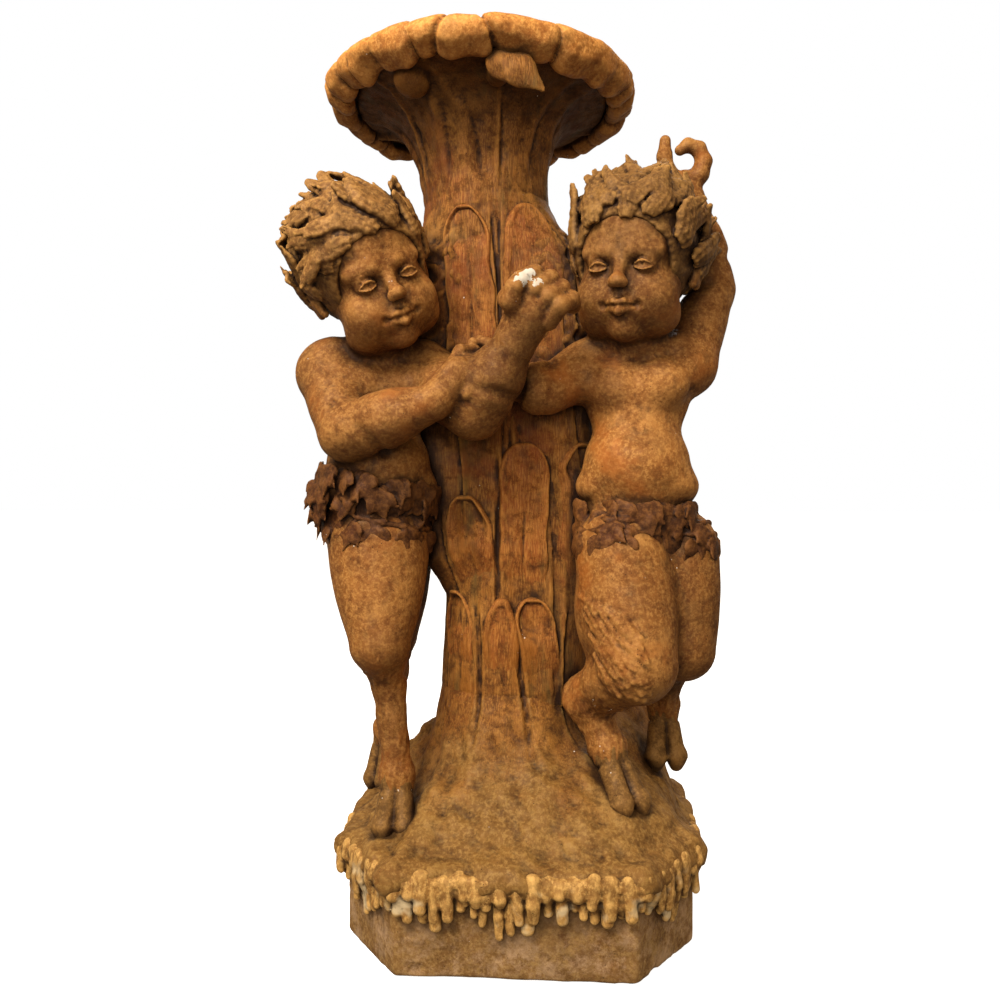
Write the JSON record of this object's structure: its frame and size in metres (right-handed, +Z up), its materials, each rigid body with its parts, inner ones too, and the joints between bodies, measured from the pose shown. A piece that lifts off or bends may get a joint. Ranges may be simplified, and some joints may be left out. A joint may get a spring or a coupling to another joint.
{
  "type": "terracotta figure pedestal",
  "caption": "Clay pedestal: two goat-legged children lean on a palm trunk with a leafy dished crown, on a rocky mound and chamfered plinth.",
  "frame": {"origin": "middle of the whole group's bounding box at the plinth's underside", "axes": "+Z up through the trunk, -Y is the front where both faces look, +X is the viewer's right"},
  "size_m": [0.5688, 0.4732, 1.119],
  "materials": {
    "weathered_base": "matte",
    "earthy_mound": "matte",
    "pale_fringe": "matte",
    "bark_clay": "matte",
    "sheath_clay": "matte",
    "crown_clay": "matte",
    "hair_clay": "matte",
    "hoof_clay": "matte",
    "girdle_clay": "matte",
    "skin_clay": "matte"
  },
  "bodies": {
    "root": {"clasping_faun_hair": "hair_clay", "clasping_faun_head": "skin_clay", "clasping_faun_leaf_girdle": "girdle_clay", "clasping_faun_left_forearm": "skin_clay", "clasping_faun_left_hand": "skin_clay", "clasping_faun_left_hoof": "hoof_clay", "clasping_faun_left_shank": "skin_clay", "clasping_faun_left_thigh": "skin_clay", "clasping_faun_left_upper_arm": "skin_clay", "clasping_faun_right_forearm": "skin_clay", "clasping_faun_right_hand": "skin_clay", "clasping_faun_right_hoof": "hoof_clay", "clasping_faun_right_shank": "skin_clay", "clasping_faun_right_thigh": "skin_clay", "clasping_faun_right_upper_arm": "skin_clay", "clasping_faun_torso": "skin_clay", "crown_cup": "crown_clay", "crown_leaf_1": "crown_clay", "crown_leaf_2": "crown_clay", "crown_leaf_3": "crown_clay", "crown_leaf_4": "crown_clay", "crown_leaf_5": "crown_clay", "crown_leaf_6": "crown_clay", "crown_leaf_7": "crown_clay", "drip_fringe_back": "pale_fringe", "drip_fringe_front": "pale_fringe", "drip_fringe_left": "pale_fringe", "drip_fringe_right": "pale_fringe", "leaf_sheath_1": "sheath_clay", "leaf_sheath_10": "sheath_clay", "leaf_sheath_11": "sheath_clay", "leaf_sheath_12": "sheath_clay", "leaf_sheath_2": "sheath_clay", "leaf_sheath_3": "sheath_clay", "leaf_sheath_4": "sheath_clay", "leaf_sheath_5": "sheath_clay", "leaf_sheath_6": "sheath_clay", "leaf_sheath_7": "sheath_clay", "leaf_sheath_8": "sheath_clay", "leaf_sheath_9": "sheath_clay", "plinth": "weathered_base", "reaching_faun_hair": "hair_clay", "reaching_faun_head": "skin_clay", "reaching_faun_leaf_girdle": "girdle_clay", "reaching_faun_left_forearm": "skin_clay", "reaching_faun_left_hand": "skin_clay", "reaching_faun_left_hoof": "hoof_clay", "reaching_faun_left_shank": "skin_clay", "reaching_faun_left_thigh": "skin_clay", "reaching_faun_left_upper_arm": "skin_clay", "reaching_faun_right_forearm": "skin_clay", "reaching_faun_right_hand": "skin_clay", "reaching_faun_right_hoof": "hoof_clay", "reaching_faun_right_shank": "skin_clay", "reaching_faun_right_thigh": "skin_clay", "reaching_faun_right_upper_arm": "skin_clay", "reaching_faun_torso": "skin_clay", "rock_mound": "earthy_mound", "trunk_lower": "bark_clay", "trunk_upper": "bark_clay"}
  },
  "joints": []
}
